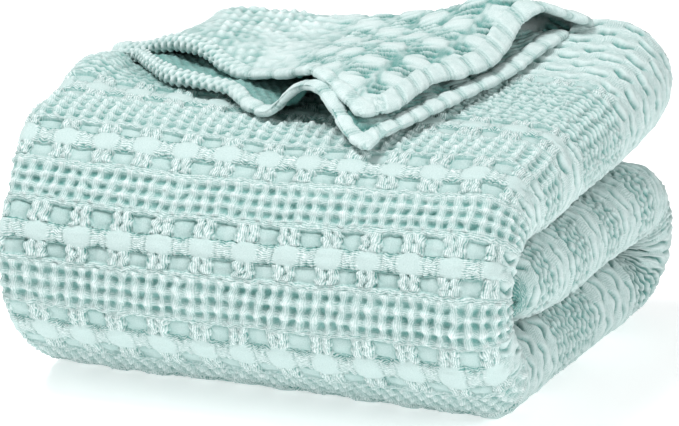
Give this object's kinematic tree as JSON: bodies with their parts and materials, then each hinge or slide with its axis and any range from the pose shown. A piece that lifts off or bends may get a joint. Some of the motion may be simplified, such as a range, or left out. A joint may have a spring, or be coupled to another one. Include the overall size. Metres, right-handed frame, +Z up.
{
  "type": "waffle weave cotton blanket",
  "caption": "Soft waffle weave cotton blanket folded into a thick rounded pack, with its hemmed double corner turned back loosely on top.",
  "frame": {"origin": "centre of the pack's bounding box, at the bottom, on the surface it lies on", "axes": "+X to the right along the round front face, +Y to the rear, +Z up"},
  "size_m": [0.38, 0.37, 0.2379],
  "materials": {
    "cotton": "matte washed cotton in pale aqua, waffle and gathered-square weave"
  },
  "bodies": {
    "root": {"blanket": "cotton"}
  },
  "joints": []
}
